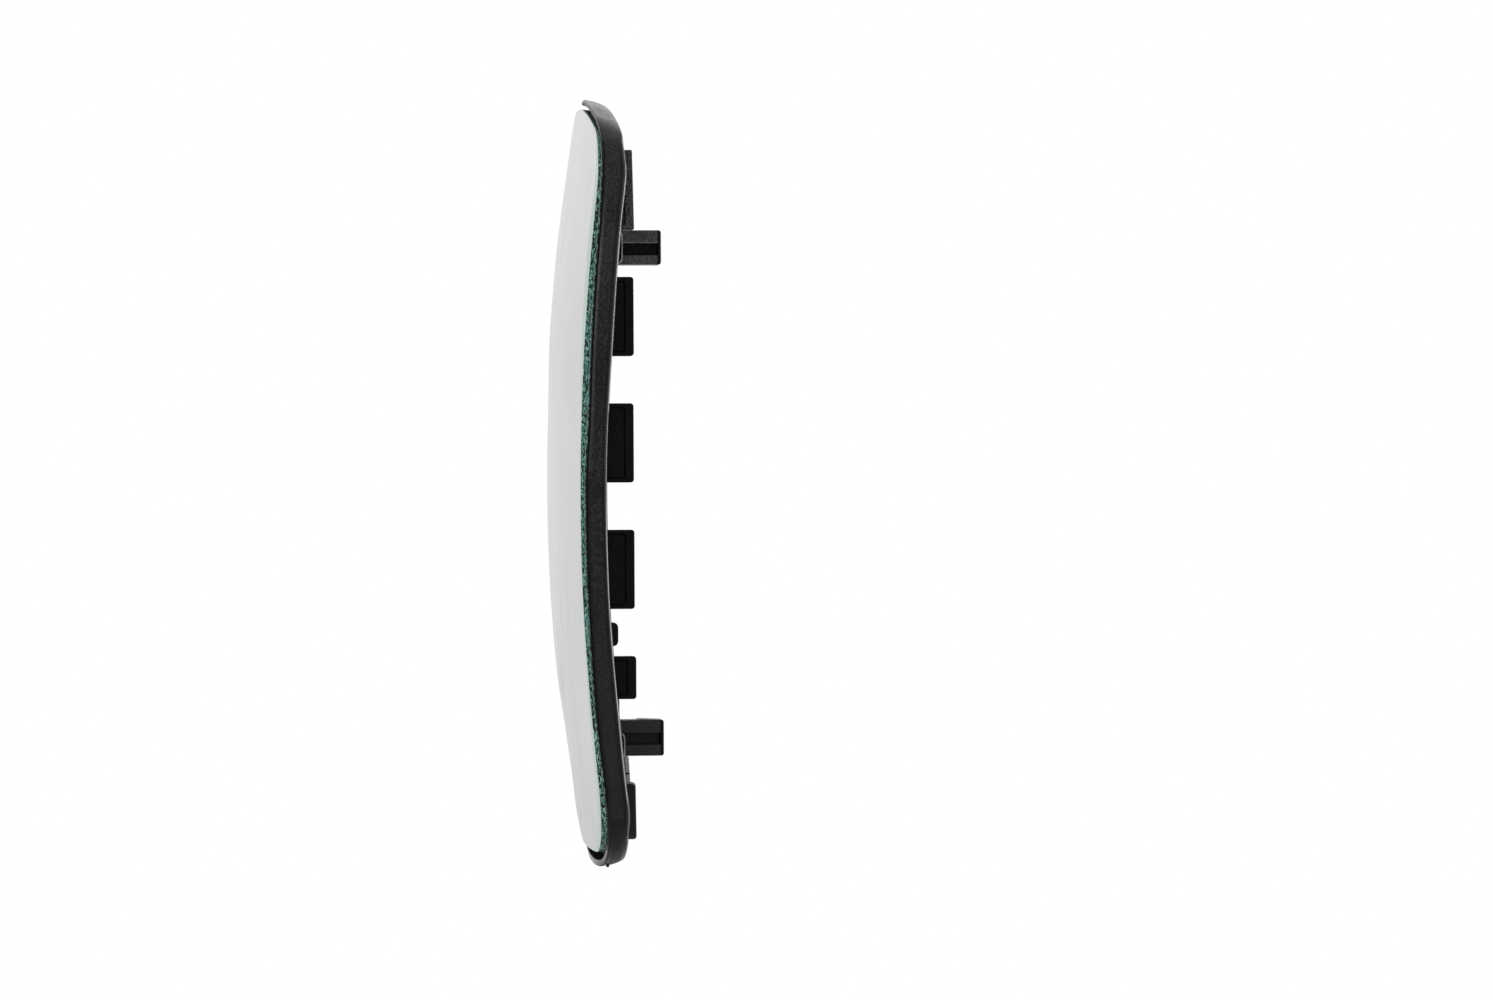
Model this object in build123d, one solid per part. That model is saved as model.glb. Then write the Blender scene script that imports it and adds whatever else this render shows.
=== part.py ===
from build123d import *
from math import cos, radians, sin, tan
import os

# Convex door mirror glass on its moulded backing plate.
# X is the width, Y points out of the back, Z runs up the long side. The glass looks along -Y.
# Tips are heights over the middle of the plate's back. The origin is the middle of the socket's mouth.

# Curved layers, counted from the glass front
glass_curve = 620.0
glass_thick = 2.0
plate_thick = 2.2
rim_curve = 640.0
rim_lift = 3.0
lip_setback = 1.65
rim_depth = 4.8

# Outline of the rim: five wide bows that meet in rounded corners
rim_width = 110.5
near_bow = 4000.0
top_bow = 230.0
top_height = 99.2
top_place = 5.0
top_slope = 7.3
far_bow = 1500.0
far_place = 50.0
taper_bow = 700.0
taper_across = -6.3
taper_height = -58.7
taper_slope = 31.0
bottom_bow = 150.0
bottom_place = 30.0
bottom_height = -88.6
near_top_round = 25.0
far_top_round = 20.0
far_waist_round = 60.0
far_bottom_round = 11.0
near_bottom_round = 23.0
draft = 6.0

# Rim wall and the seat of the glass
rim_wall = 1.3
rim_back_round = 0.65
rim_lip_bevel = 0.5
glass_gap = 0.3
glass_gap_top = 1.2
glass_gap_bottom = 2.0
glass_foot_round = 20.0
glass_bevel = 0.3

# Lugs that stand in a ring just inside the rim
lug_inset = 3.0
lug_thick = 2.6
lug_tip = 11.1
lug_long = 18.8
lug_pitch = 30.0
lug_first = 83.1
lug_rows = 6
lug_cut_long = 10.2
lug_end_long = 13.1
lug_corner = 0.7
end_lug_place = 6.0
end_lugs = 2
foot_lug_place = 18.0
panel_deep = 0.5
panel_side = 1.1
panel_tip = 2.2

# Guide posts
post_across = 30.0
post_pitch = 118.2
post_middle = 2.0
post_tip = 19.5
post_high = 8.3
post_deep = 6.0
post_upper_flange = 3.2
post_groove_high = 2.7
post_groove_deep = 1.6
post_end_band = 0.9
post_round = 0.6
collar_size = 8.0
collar_tip = 10.6

# Adjuster socket and the ribs around it
socket_bore = 20.0
socket_wall = 2.0
socket_tip = 6.5
socket_slot = 5.0
rib_wide = 1.4
rib_high = 1.5
rib_turns = 4

# Low links and the small nub on the side with the posts
link_low_tip = 7.4
link_high_tip = 9.5
link_slope = 1.4
nub_place = -31.7
nub_round = 2.85
nub_tip = 7.2
nub_thick = 3.0

# Values that follow from the ones above
plate_back = glass_thick + plate_thick
rim_back = lip_setback + rim_depth
centre_y = glass_curve - plate_back
half_width = rim_width / 2
reach = 2 * rim_width
grip = plate_thick / 2
column_back = lug_tip + rim_depth
post_low = post_middle - post_pitch / 2
post_rows = [post_middle + post_pitch / 2, post_low]


def disc(across, up, size):
    return Pos(across, up) * Circle(size)


def outline(inset, top_inset, bottom_inset, foot_round):
    near = disc(half_width - near_bow, 0, near_bow - inset)
    top_x = top_place - top_bow * sin(radians(top_slope))
    top_z = top_height - top_bow * cos(radians(top_slope))
    top = disc(top_x, top_z, top_bow - top_inset)
    far = disc(far_bow - half_width, far_place, far_bow - inset)
    taper_x = taper_across + taper_bow * cos(radians(taper_slope))
    taper_z = taper_height + taper_bow * sin(radians(taper_slope))
    taper = disc(taper_x, taper_z, taper_bow - inset)
    bottom = disc(bottom_place, bottom_height + bottom_bow, bottom_bow - bottom_inset)
    shape = near & top & far & taper & bottom
    corners = [
        (half_width, top_height, near_top_round),
        (-half_width, top_height, far_top_round),
        (-half_width, 0, far_waist_round),
        (taper_across, bottom_height, far_bottom_round),
        (half_width, bottom_height, foot_round),
    ]
    for across, up, size in corners:
        corner = shape.vertices().sort_by_distance((across, up, 0))[0]
        shape = fillet(corner, size - inset)
    return shape


def drafted(inset, top_inset, bottom_inset, foot_round):
    # Drafted walls stand square to the bowed glass
    lean = column_back * tan(radians(draft))
    shape = outline(inset + lean, top_inset + lean, bottom_inset + lean, foot_round)
    back = Plane.XZ.offset(-column_back)
    return extrude(back * shape, amount=2 * column_back, taper=-draft)


def column(inset):
    return drafted(inset, inset, inset, near_bottom_round)


def upright_column(inset):
    shape = outline(inset, inset, inset, near_bottom_round)
    return extrude(Plane.XZ * shape, amount=reach, both=True)


def ball(depth):
    return Pos(0, centre_y, 0) * Sphere(glass_curve - depth)


def rim_ball(depth):
    return Pos(0, rim_curve - plate_back, rim_lift) * Sphere(rim_curve - depth)


def block(low_x, high_x, low_y, high_y, low_z, high_z):
    middle = Pos((low_x + high_x) / 2, (low_y + high_y) / 2, (low_z + high_z) / 2)
    return middle * Box(high_x - low_x, high_y - low_y, high_z - low_z)


def side_gate(low_x, high_x, top_z, long, trim, tip):
    gate = block(low_x, high_x, -plate_back, tip, top_z - long + trim, top_z - trim)
    if trim:
        return gate
    corners = gate.edges().filter_by(Axis.X).sort_by(Axis.Y)[-2:]
    return fillet(corners, lug_corner)


def end_gate(across, low_z, high_z, trim, tip):
    half = lug_long / 2 - trim
    gate = block(across - half, across + half, -plate_back, tip, low_z, high_z)
    if trim:
        return gate
    corners = gate.edges().filter_by(Axis.Z).sort_by(Axis.Y)[-2:]
    return fillet(corners, lug_corner)


def lug_gates(trim, tip):
    gates = []
    for row in range(lug_rows):
        top_z = lug_first - row * lug_pitch
        long = lug_long
        if row == lug_rows - 2:
            long = lug_cut_long
        if row == lug_rows - 1:
            long = lug_end_long
        gates.append(side_gate(half_width / 2, reach, top_z, long, trim, tip))
        far_long = lug_long
        if row == lug_rows - 1:
            far_long = lug_end_long
        gates.append(side_gate(-reach, half_width / 3, top_z, far_long, trim, tip))
    for step in range(end_lugs):
        across = end_lug_place - step * lug_pitch
        gates.append(end_gate(across, lug_first, reach, trim, tip))
    foot_high = lug_first - (lug_rows - 1) * lug_pitch - lug_end_long
    gates.append(end_gate(foot_lug_place, -reach, foot_high, trim, tip))
    return gates


# Glass
glass_inset = rim_wall + glass_gap
glass_head = rim_wall + glass_gap_top
glass_foot = rim_wall + glass_gap_bottom
pane = drafted(glass_inset, glass_head, glass_foot, glass_foot_round)
mirror_glass = (pane & ball(0)) - ball(glass_thick)
glass_balls = mirror_glass.faces().filter_by(GeomType.SPHERE).sort_by(Axis.Y)
mirror_glass = chamfer(glass_balls[0].outer_wire().edges(), glass_bevel)

# Plate and rim
rim = (column(0) & rim_ball(lip_setback)) - rim_ball(rim_back) - column(rim_wall)
rim_balls = rim.faces().filter_by(GeomType.SPHERE).sort_by(Axis.Y)
rim = fillet(rim_balls[-1].outer_wire().edges(), rim_back_round)
rim_balls = rim.faces().filter_by(GeomType.SPHERE).sort_by(Axis.Y)
rim = chamfer(rim_balls[0].outer_wire().edges(), rim_lip_bevel)
plate = (column(rim_wall / 2) & ball(glass_thick)) - ball(plate_back)

# Ring of lugs, each with a sunk panel on its outer face
behind_plate = ball(plate_back - grip)
lug_ring = upright_column(lug_inset) - upright_column(lug_inset + lug_thick)
lugs = Part() + lug_gates(0, lug_tip)
lugs = lugs & lug_ring & behind_plate
panel_ring = upright_column(lug_inset - panel_deep) - upright_column(lug_inset + panel_deep)
panels = Part() + lug_gates(panel_side, lug_tip - panel_tip)
lugs = lugs - (panels & panel_ring & ball(plate_back))

# Low links between the last lugs, past the lower post
cut_end = lug_first - (lug_rows - 2) * lug_pitch - lug_cut_long
last_top = lug_first - (lug_rows - 1) * lug_pitch
post_half = post_high / 2
link_low = block(half_width / 2, reach, -plate_back, link_low_tip, post_low + post_half, cut_end)
link_high = block(half_width / 2, reach, -plate_back, link_high_tip, last_top, post_low - post_half)
link_high = link_high & lug_ring
link_edge = link_high.faces().sort_by(Axis.Y)[-1].edges().sort_by(Axis.X)[-1]
link_high = chamfer(link_edge, link_slope)
links = ((link_low & lug_ring) + link_high) & behind_plate

# Small round nub beside the rim
nub_across = half_width - lug_inset - nub_thick / 2
nub_rod = Rot(0, 90, 0) * Cylinder(nub_round, nub_thick)
nub = (Pos(nub_across, nub_tip - nub_round, nub_place) * nub_rod) & behind_plate

# Guide posts of channel section on round collars
posts = Part()
for up in post_rows:
    bar_low_z = up - post_half
    bar_low_x = post_across - post_deep / 2
    bar_high_x = post_across + post_deep / 2
    bar = block(bar_low_x, bar_high_x, -plate_back, post_tip, bar_low_z, up + post_half)
    bar = fillet(bar.faces().sort_by(Axis.Y)[-1].edges(), post_round)
    groove_high_z = up + post_half - post_upper_flange
    groove_low_z = groove_high_z - post_groove_high
    groove_tip = post_tip - post_end_band
    near_face = bar_high_x - post_groove_deep
    far_face = bar_low_x + post_groove_deep
    bar = bar - block(near_face, reach, collar_tip, groove_tip, groove_low_z, groove_high_z)
    bar = bar - block(-reach, far_face, collar_tip, groove_tip, groove_low_z, groove_high_z)
    collar_long = collar_tip + plate_back
    collar_rod = Rot(90, 0, 0) * Cylinder(collar_size / 2, collar_long)
    collar = Pos(post_across, (collar_tip - plate_back) / 2, up) * collar_rod
    posts = posts + ((bar + collar) & behind_plate)

# Split clip ring that takes the adjuster
socket_long = socket_tip + plate_back
socket_place = Pos(0, (socket_tip - plate_back) / 2, 0) * Rot(90, 0, 0)
socket_core = socket_place * Cylinder(socket_bore, socket_long)
socket_outside = socket_place * Cylinder(socket_bore + socket_wall, socket_long)
slot_floor = rib_high
socket = (socket_outside - socket_core) & behind_plate
for turn in (45, 135):
    half_slot = socket_slot / 2
    slot = Rot(0, turn, 0) * block(-reach, reach, slot_floor, reach, -half_slot, half_slot)
    socket = socket - slot

# Low ribs that run from the socket to the lugs
spokes = Part()
for turn in range(rib_turns):
    angle = turn * 180 / rib_turns
    bar = block(-reach, reach, -plate_back, lug_tip, -rib_wide / 2, rib_wide / 2)
    spokes = spokes + Rot(0, angle, 0) * bar
rib_room = upright_column(lug_inset + lug_thick / 2) - socket_core
ribs = (spokes & rib_room & behind_plate) - ball(plate_back + rib_high)

backing_plate = plate + rim + lugs + links + nub + posts + socket + ribs

# Both pieces move so that the socket's mouth is the origin
to_mouth = Pos(0, -socket_tip, 0)
mirror_glass = to_mouth * mirror_glass
backing_plate = to_mouth * backing_plate

os.makedirs("parts", exist_ok=True)
export_step(mirror_glass, "parts/mirror_glass.step")
export_step(backing_plate, "parts/backing_plate.step")
for name, piece in (("mirror_glass", mirror_glass), ("backing_plate", backing_plate)):
    print(name, round(piece.volume), len(piece.solids()), piece.is_valid, piece.bounding_box())
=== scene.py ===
import bmesh
import bpy
from math import asin, atan2, cos, pi, radians, sin, sqrt, tan
from mathutils import Matrix, Vector, noise


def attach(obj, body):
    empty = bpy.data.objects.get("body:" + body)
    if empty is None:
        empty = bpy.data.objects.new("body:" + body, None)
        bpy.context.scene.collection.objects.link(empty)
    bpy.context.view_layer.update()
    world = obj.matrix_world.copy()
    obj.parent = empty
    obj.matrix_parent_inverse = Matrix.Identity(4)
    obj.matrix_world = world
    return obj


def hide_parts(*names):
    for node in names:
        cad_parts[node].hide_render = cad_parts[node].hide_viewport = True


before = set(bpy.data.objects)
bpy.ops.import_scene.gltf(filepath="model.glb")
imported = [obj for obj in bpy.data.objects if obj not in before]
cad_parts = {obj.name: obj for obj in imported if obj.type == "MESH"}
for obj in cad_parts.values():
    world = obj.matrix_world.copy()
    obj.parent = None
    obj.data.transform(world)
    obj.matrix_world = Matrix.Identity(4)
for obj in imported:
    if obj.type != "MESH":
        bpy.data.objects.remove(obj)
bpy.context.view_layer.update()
scene = bpy.context.scene
print("frame loaded:", sorted(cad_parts))

# Sizes in mm. X is the width, Y points out of the back, Z up.
# Depths count back from the front of the pane, heights from the middle of the plate's back.
mm = 0.001
layers = {
    "glassCurve": 620.0, "glassThick": 2.0, "plateBack": 4.2, "rimCurve": 640.0, "rimLift": 3.0,
    "lip": 1.65, "rimBack": 6.45, "rimWall": 1.3, "draft": 6.0, "mouth": 6.5,
}
outlineSizes = {
    "wide": 110.5, "nearBow": 4000.0, "topBow": 230.0, "topHeight": 99.2, "topPlace": 5.0, "topSlope": 7.3,
    "farBow": 1500.0, "farPlace": 50.0, "taperBow": 700.0, "taperAcross": -6.3, "taperHeight": -58.7,
    "taperSlope": 31.0, "bottomBow": 150.0, "bottomPlace": 30.0, "bottomHeight": -88.6,
    "rounds": (25.0, 20.0, 60.0, 11.0, 23.0),
}
wallLean = tan(radians(layers["draft"]))
leanRounds = 6  # rounds in which a point on the leaning wall settles
capMiddle = Vector((2.0, 5.0))  # where the rings over the pane and the plate close
onPlate = -99.0  # stands for the height of the plate below a point
rootDeep = 0.6  # how far the foot of a form reaches into the plate

# Soft patches where the lip lies further back (+) or forward (-): mm, bounds across, bounds up
lipWarps = {
    "farCorner": (3.3, [(-17, -32)], [(55, 80)]),
    "head": (-0.4, [(25, -5)], [(70, 88)]),
    "headAtFarCorner": (0.4, [(25, -5), (-17, -32)], [(70, 88), (55, 80)]),
    "nearCorner": (-1.2, [(-12, 12)], [(82, 95)]),
    "foot": (-1.2, [(46, 26)], [(-60, -80)]),
    "farFoot": (0.25, [(46, 26), (30, 12)], [(-60, -80)]),
    "lowerSide": (-0.4, [(0, 30)], [(22, 0), (-72, -48)]),
    "upperSide": (0.3, [(0, 30)], [(4, 24), (80, 64)]),
}


def circleMeet(first, firstSize, second, secondSize, hint):
    gap = second - first
    along = (firstSize ** 2 - secondSize ** 2 + gap.length ** 2) / (2 * gap.length)
    way = gap.normalized()
    middle = first + way * along
    aside = Vector((-way.y, way.x)) * sqrt(max(firstSize ** 2 - along ** 2, 0))
    return min((middle + aside, middle - aside), key=lambda end: (end - hint).length)


def arcSpots(centre, size, start, end, step):
    first = atan2(start.y - centre.y, start.x - centre.x)
    turn = atan2(end.y - centre.y, end.x - centre.x) - first
    turn = (turn + pi) % (2 * pi) - pi
    count = max(3, int(abs(turn) * size / step))
    spots = []
    for number in range(count):
        angle = first + turn * number / count
        way = Vector((cos(angle), sin(angle)))
        spots.append((centre + way * size, way))
    return spots


def outlineSpots(inset, topInset, bottomInset, rounds, bowStep, cornerStep):
    # Five wide bows joined by rounded corners, as points with their outward ways
    sizes = outlineSizes
    half, top, bottom = sizes["wide"] / 2, sizes["topHeight"], sizes["bottomHeight"]
    topTilt, taperTilt = radians(sizes["topSlope"]), radians(sizes["taperSlope"])
    topMiddle = Vector((sizes["topPlace"], top))
    topMiddle -= Vector((sin(topTilt), cos(topTilt))) * sizes["topBow"]
    taperMiddle = Vector((sizes["taperAcross"], sizes["taperHeight"]))
    taperMiddle += Vector((cos(taperTilt), sin(taperTilt))) * sizes["taperBow"]
    bows = [
        (Vector((half - sizes["nearBow"], 0)), sizes["nearBow"] - inset),
        (topMiddle, sizes["topBow"] - topInset),
        (Vector((sizes["farBow"] - half, sizes["farPlace"])), sizes["farBow"] - inset),
        (taperMiddle, sizes["taperBow"] - inset),
        (Vector((sizes["bottomPlace"], bottom + sizes["bottomBow"])), sizes["bottomBow"] - bottomInset),
    ]
    hints = [(half, top), (-half, top), (-half, 0), (sizes["taperAcross"], bottom), (half, bottom)]
    corners = []
    for number, size in enumerate(rounds):
        first, firstSize = bows[number]
        second, secondSize = bows[(number + 1) % len(bows)]
        size = size - inset
        middle = circleMeet(first, firstSize - size, second, secondSize - size, Vector(hints[number]))
        start = first + (middle - first).normalized() * firstSize
        end = second + (middle - second).normalized() * secondSize
        corners.append((middle, size, start, end))
    spots = []
    for number, (middle, size) in enumerate(bows):
        spots += arcSpots(middle, size, corners[number - 1][3], corners[number][2], bowStep)
        spots += arcSpots(*corners[number], cornerStep)
    return spots


def smooth(low, high, value):
    t = min(max((value - low) / (high - low), 0), 1)
    return t * t * (3 - 2 * t)


def mix(low, high, share):
    return low + (high - low) * share


def between(low, high, count):
    return [mix(low, high, number / count) for number in range(count + 1)]


def warpAt(warps, flat):
    total = 0
    for amount, across, up in warps.values():
        for low, high in across:
            amount *= smooth(low, high, flat.x)
        for low, high in up:
            amount *= smooth(low, high, flat.y)
        total += amount
    return total


def ballHeight(across, up, depth, ball):
    curve = layers[ball + "Curve"]
    lift = layers["rimLift"] if ball == "rim" else 0
    return curve - layers["plateBack"] - sqrt((curve - depth) ** 2 - across ** 2 - (up - lift) ** 2)


def plateHeight(across, up, deep=rootDeep):
    return ballHeight(across, up, layers["plateBack"] - deep, "glass")


def placed(across, height, up):
    return Vector((across, height - layers["mouth"], up)) * mm


def wallPoint(spot, inset, depth, ball):
    flat, way = spot
    height = 0
    for _ in range(leanRounds):
        point = flat - way * (inset + height * wallLean)
        height = ballHeight(point.x, point.y, depth, ball)
    return placed(point.x, height, point.y)


def roundTurn(centre, size, start, end, count):
    turns = [radians(turn) for turn in between(start, end, count)]
    return [(centre[0] + size * cos(t), centre[1] + size * sin(t)) for t in turns]


def newObject(name, data):
    made = bpy.data.objects.new(name, data)
    scene.collection.objects.link(made)
    return made


def newPiece(name, verts, faces, faceLooks, sharp=32, slot="backing_plate"):
    # faceLooks names one look for the whole piece, or one for each face
    if isinstance(faceLooks, str):
        faceLooks = [faceLooks] * len(faces)
    used = list(dict.fromkeys(faceLooks))
    mesh = bpy.data.meshes.new(name)
    mesh.from_pydata([tuple(vert) for vert in verts], [], faces)
    for look in used:
        mesh.materials.append(looks[look])
    mesh.polygons.foreach_set("material_index", [used.index(look) for look in faceLooks])
    shape = bmesh.new()
    shape.from_mesh(mesh)
    bmesh.ops.recalc_face_normals(shape, faces=shape.faces)
    shape.to_mesh(mesh)
    shape.free()
    mesh.polygons.foreach_set("use_smooth", [True] * len(mesh.polygons))
    mesh.set_sharp_from_angle(angle=radians(sharp))
    piece = newObject(name, mesh)
    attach(piece, "root")
    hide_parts(slot)


def ringFaces(rows, columns, first=0, closed=True):
    faces = []
    for row in range(rows - 1):
        for column in range(columns if closed else columns - 1):
            beside = (column + 1) % columns
            low = first + row * columns
            faces.append((low + column, low + beside, low + columns + beside, low + columns + column))
    return faces


def addTube(verts, faces, loops, startFace=True, closed=True):
    # Faces between loops that have the same number of points, and over the ends
    first, count = len(verts), len(loops[0])
    for loop in loops:
        verts += loop
    last = len(verts) - count
    faces += ringFaces(len(loops), count, first, closed)
    if startFace:
        faces.append(tuple(range(first, first + count)))
    faces.append(tuple(range(last, last + count)))


def tubePiece(name, tubes, look, closed=True):
    verts, faces = [], []
    for loops in tubes:
        addTube(verts, faces, loops, closed=closed)
    newPiece(name, verts, faces, look)


def addCap(verts, faces, rim, depth, shares):
    # Rings that shrink from a closed row of points to the middle of a ball
    count = len(rim)
    last = list(rim)
    for share in shares:
        row = []
        for number in rim:
            flat = Vector((verts[number].x, verts[number].z)) / mm
            flat = flat.lerp(capMiddle, share)
            row.append(len(verts))
            verts.append(placed(flat.x, ballHeight(flat.x, flat.y, depth, "glass"), flat.y))
        faces += [(last[n - 1], last[n], row[n], row[n - 1]) for n in range(count)]
        last = row
    tip = len(verts)
    verts.append(placed(capMiddle.x, ballHeight(capMiddle.x, capMiddle.y, depth, "glass"), capMiddle.y))
    faces += [(last[n - 1], last[n], tip) for n in range(count)]


# Materials
def grey(level, blue=None):
    return level, level, blue or level, 1


def feed(socket, value):
    # A socket takes a link or a plain value
    if isinstance(value, bpy.types.NodeSocket):
        socket.id_data.links.new(value, socket)
    else:
        socket.default_value = value


def feedAll(node, values):
    for label, value in values.items():
        feed(node.inputs[label], value)


def addNode(tree, kind, values=None, **settings):
    node = tree.nodes.new(kind)
    for label, value in settings.items():
        setattr(node, label, value)
    feedAll(node, values or {})
    return node


# The next functions add a node to the tree of a socket that they are given
def addMix(share, low, high):
    # 0, 6 and 7 are the sockets of the share and the two colours
    return addNode(share.id_data, "ShaderNodeMix", {0: share, 6: low, 7: high}, data_type="RGBA").outputs[2]


def addRange(value, low, high, outLow=0.0, outHigh=1.0):
    values = {"Value": value, "From Min": low, "From Max": high, "To Min": outLow, "To Max": outHigh}
    node = addNode(value.id_data, "ShaderNodeMapRange", values, interpolation_type="SMOOTHSTEP")
    return node.outputs["Result"]


def addMath(operation, first, second):
    return addNode(first.id_data, "ShaderNodeMath", {0: first, 1: second}, operation=operation).outputs[0]


def addSum(first, second):
    return addMath("ADD", first, second)


def addProduct(first, second):
    return addMath("MULTIPLY", first, second)


def addBlend(first, second, firstShare):
    return addSum(addProduct(first, firstShare), addProduct(second, 1 - firstShare))


def addNoise(where, scale, detail, rough=0.5, stretch=None):
    if stretch:
        mapping = addNode(where.id_data, "ShaderNodeMapping", {"Vector": where, "Scale": stretch})
        where = mapping.outputs["Vector"]
    values = {"Vector": where, "Scale": scale, "Detail": detail, "Roughness": rough}
    return addNode(where.id_data, "ShaderNodeTexNoise", values).outputs["Fac"]


def newGroup(name, values):
    # Gives the group, its inputs and outputs, the place on the object, its parts and the noises
    group = bpy.data.node_groups.new(name, "ShaderNodeTree")
    for label, value in values["inputs"].items():
        kind = "NodeSocketColor" if isinstance(value, tuple) else "NodeSocketFloat"
        group.interface.new_socket(label, in_out="INPUT", socket_type=kind).default_value = value
    for label in ("Color", "Roughness", "Height"):
        kind = "NodeSocketColor" if label == "Color" else "NodeSocketFloat"
        group.interface.new_socket(label, in_out="OUTPUT", socket_type=kind)
    given = group.nodes.new("NodeGroupInput").outputs
    out = group.nodes.new("NodeGroupOutput").inputs
    where = addNode(group, "ShaderNodeTexCoord").outputs["Object"]
    parts = addNode(group, "ShaderNodeSeparateXYZ", {0: where}).outputs
    noises = {key: addNoise(where, *setting) for key, setting in values["noises"].items()}
    return group, given, out, where, parts, noises


# Noises are scale, detail, roughness and stretch. Bounds across and up are in metres.
mouldValues = {
    "inputs": {
        "Dark": grey(0.006), "Light": grey(0.016), "Fleck": grey(0.12), "Dull": grey(0.011, 0.012),
        "Smooth": 0.34, "Coarse": 0.5, "Flecks": 0.5, "Dull Share": 0.0,
    },
    "noises": {
        "grain": (1700, 2.0, 0.7), "soft": (900, 3.0, 0.55), "cloud": (46, 3.0, 0.6),
        "brush": (700, 2.0, 0.5, (1.0, 1.0, 0.05)),
    },
    "specks": 150.0, "speckPick": 0.86, "speckSize": (0.012, 0.045), "calmUp": (-0.06, 0.02),
    "highlightLowUp": (0.010, 0.034), "highlightHighUp": (0.056, 0.070), "dullUp": (0.085, 0.094),
}


def mouldGroup(values):
    # Fine mould grain, faint handling haze, sparse dust specks and short scuffs
    group, given, out, where, parts, noises = newGroup("mouldedSkin", values)
    grain, soft, cloud, brush = noises.values()
    up = parts["Z"]
    # The grain fades toward the narrow end
    tone = addSum(addBlend(cloud, grain, 0.35), -0.5)
    tone = addSum(addProduct(tone, addRange(up, *values["calmUp"], 0.3, 1.0)), 0.5)
    skin = addMix(addRange(tone, 0.41, 0.59), given["Dark"], given["Light"])
    # A painted highlight line fades out at both of its ends
    below = addRange(up, *values["highlightLowUp"], 1.0, 0.0)
    faded = addMath("MAXIMUM", below, addRange(up, *values["highlightHighUp"]))
    skin = addMix(addProduct(faded, given["Dull Share"]), skin, given["Dull"])
    cell = addNode(group, "ShaderNodeTexVoronoi", {"Vector": where, "Scale": values["specks"]}).outputs
    pick = addNode(group, "ShaderNodeSeparateColor", {"Color": cell["Color"]}).outputs["Red"]
    speck = addRange(cell["Distance"], *values["speckSize"], 1.0, 0.0)
    speck = addProduct(speck, addMath("GREATER_THAN", pick, values["speckPick"]))
    scuff = addProduct(addRange(brush, 0.69, 0.78, 0.0, 0.55), addRange(cloud, 0.55, 0.68))
    marks = addProduct(addMath("MAXIMUM", speck, scuff), given["Flecks"])
    feed(out["Color"], addMix(marks, skin, given["Fleck"]))
    rough = addRange(addBlend(soft, cloud, 0.6), 0.35, 0.65, given["Smooth"], given["Coarse"])
    # The skin is duller over the wide end
    rough = addSum(rough, addRange(up, *values["dullUp"], 0.0, 0.1))
    feed(out["Roughness"], addSum(rough, addProduct(marks, 0.25)))
    feed(out["Height"], addSum(addBlend(grain, soft, 0.7), addProduct(marks, 0.6)))
    return group


paneValues = {
    "inputs": {},
    "noises": {
        "cloud": (28, 3.0, 0.6), "tint": (42, 1.0, 0.5), "wipe": (160, 3.0, 0.6, (1.0, 1.0, 0.18)),
        "dust": (2600, 1.0, 0.5),
    },
    # The low and high face colours are a painted reflection, darker toward the narrow end and lighter toward
    # the wide end
    "paintedDimReflection": (0.44, 0.485, 0.465, 1), "face": (0.675, 0.69, 0.675, 1), "paintedBrightReflection": (0.80, 0.82, 0.805, 1),
    "nearFoot": (0.73, 0.72, 0.70, 1),
    # Haze, warm and cool tints and dust: noise, its bounds, most share and colour
    "tints": (
        ("cloud", 0.3, 0.7, 0.3, (0.70, 0.712, 0.706, 1)), ("tint", 0.56, 0.72, 0.3, (0.70, 0.665, 0.645, 1)),
        ("tint", 0.44, 0.30, 0.28, (0.60, 0.665, 0.625, 1)), ("dust", 0.72, 0.8, 0.25, grey(0.5, 0.49)),
    ),
    "dimReflectionUp": (-0.088, 0.02), "brightReflectionUp": (0.03, 0.09), "nearAcross": (0.015, 0.052), "nearUp": (0.02, -0.05),
    "nearEndUp": (-0.086, -0.05),
}


def paneGroup(values):
    # Silvered face: hardly visible clouds, a painted reflection that darkens toward the narrow end and
    # brightens toward the wide end, and fine dust
    group, _, out, _, parts, noises = newGroup("silveredFace", values)
    up, wipe = parts["Z"], noises["wipe"]
    near = addProduct(addRange(parts["X"], *values["nearAcross"], 0.0, 0.75), addRange(up, *values["nearUp"]))
    near = addProduct(near, addRange(up, *values["nearEndUp"], 0.2, 1.0))
    # Painted reflection: the face darkens toward the narrow end and brightens toward the wide end
    face = addMix(addRange(up, *values["dimReflectionUp"]), values["paintedDimReflection"], values["face"])
    face = addMix(addRange(up, *values["brightReflectionUp"]), face, values["paintedBrightReflection"])
    face = addMix(near, face, values["nearFoot"])
    for key, low, high, most, colour in values["tints"]:
        face = addMix(addRange(noises[key], low, high, 0.0, most), face, colour)
    feed(out["Color"], face)
    feed(out["Roughness"], addRange(wipe, 0.35, 0.75, 0.15, 0.19))
    feed(out["Height"], addProduct(wipe, 0.4))
    return group


groundValues = {
    "inputs": {"Pale": (0.24, 0.33, 0.30, 1), "Pale Share": 0.0},
    "noises": {
        "body": (420, 3.0, 0.6), "pits": (2100, 2.0, 0.55, (1.0, 1.2, 0.55)),
        "small": (2700, 1.0, 0.5, (1.0, 1.2, 0.5)),
    },
    "deepGreen": (0.022, 0.15, 0.12, 1), "green": (0.105, 0.315, 0.265, 1), "fleck": (0.42, 0.63, 0.57, 1),
    "pit": (0.001, 0.008, 0.007, 1), "shade": (0.009, 0.03, 0.026, 1),
    "narrowUp": (-0.03, -0.055), "wideUp": (0.035, 0.08), "shadeUp": (0.084, 0.091),
}


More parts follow.
